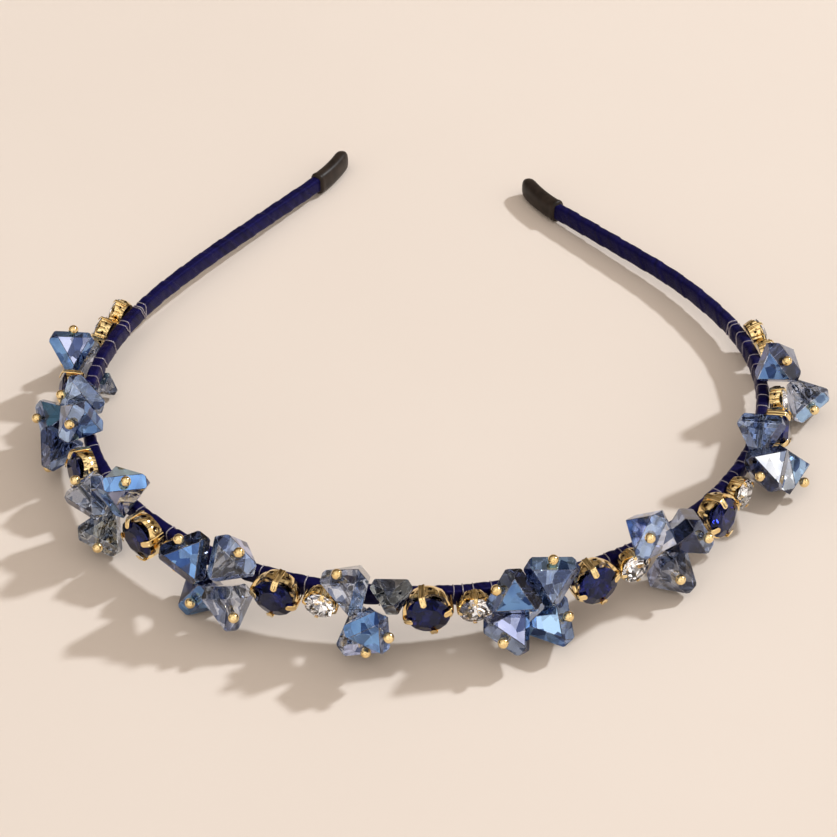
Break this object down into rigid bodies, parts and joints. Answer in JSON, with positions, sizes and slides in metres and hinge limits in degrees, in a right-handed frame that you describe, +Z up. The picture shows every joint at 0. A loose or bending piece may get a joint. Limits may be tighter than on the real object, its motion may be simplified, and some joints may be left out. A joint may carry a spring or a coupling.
{
  "type": "crystal headband",
  "caption": "Narrow ribbon-wound headband set with glass nuggets, navy and clear cut stones in gold cups, and small gold beads, lying on its side.",
  "frame": {"origin": "on the floor, under the middle of the part's box", "axes": "+Z up from the floor that the headband lies on, +X to the right and +Y to the back for a viewer facing the decorated front, so the front middle of the band is at -Y and its two tips are at +Y"},
  "size_m": [0.1588, 0.1642, 0.0209],
  "materials": {
    "navy_ribbon": "satin ribbon, wound",
    "rubber": "matt",
    "gold": "polished pale gold plate",
    "navy_glass": "polished, foiled behind",
    "clear_stone": "polished, foiled behind",
    "blue_glass": "polished, thin mirror-like coat",
    "smoke_glass": "polished, thin mirror-like coat",
    "clear_grey_glass": "polished, thin mirror-like coat"
  },
  "bodies": {
    "root": {"band": "navy_ribbon", "tip_left": "rubber", "tip_right": "rubber", "navy_cup_1": "gold", "navy_cup_2": "gold", "navy_cup_3": "gold", "navy_cup_4": "gold", "navy_cup_5": "gold", "navy_cup_6": "gold", "navy_cup_7": "gold", "navy_cup_8": "gold", "navy_stone_1": "navy_glass", "navy_stone_2": "navy_glass", "navy_stone_3": "navy_glass", "navy_stone_4": "navy_glass", "navy_stone_5": "navy_glass", "navy_stone_6": "navy_glass", "navy_stone_7": "navy_glass", "navy_stone_8": "navy_glass", "clear_cups": "gold", "clear_stones": "clear_stone", "nugget_a1": "blue_glass", "nugget_a2": "clear_grey_glass", "nugget_a3": "smoke_glass", "nugget_b1": "smoke_glass", "nugget_b2": "smoke_glass", "nugget_b3": "blue_glass", "nugget_b4": "smoke_glass", "nugget_c1": "clear_grey_glass", "nugget_c2": "blue_glass", "nugget_c3": "clear_grey_glass", "nugget_d1": "blue_glass", "nugget_d2": "smoke_glass", "nugget_d3": "blue_glass", "nugget_d4": "clear_grey_glass", "nugget_e1": "clear_grey_glass", "nugget_e2": "blue_glass", "nugget_e3": "clear_grey_glass", "nugget_e4": "clear_grey_glass", "nugget_f1": "blue_glass", "nugget_f2": "smoke_glass", "nugget_f3": "smoke_glass", "nugget_f4": "blue_glass", "nugget_g1": "smoke_glass", "nugget_g2": "smoke_glass", "nugget_g3": "smoke_glass", "nugget_h1": "smoke_glass", "nugget_h2": "smoke_glass", "nugget_h3": "smoke_glass", "nugget_i1": "clear_grey_glass", "nugget_j1": "smoke_glass", "gold_beads": "gold"}
  },
  "joints": []
}
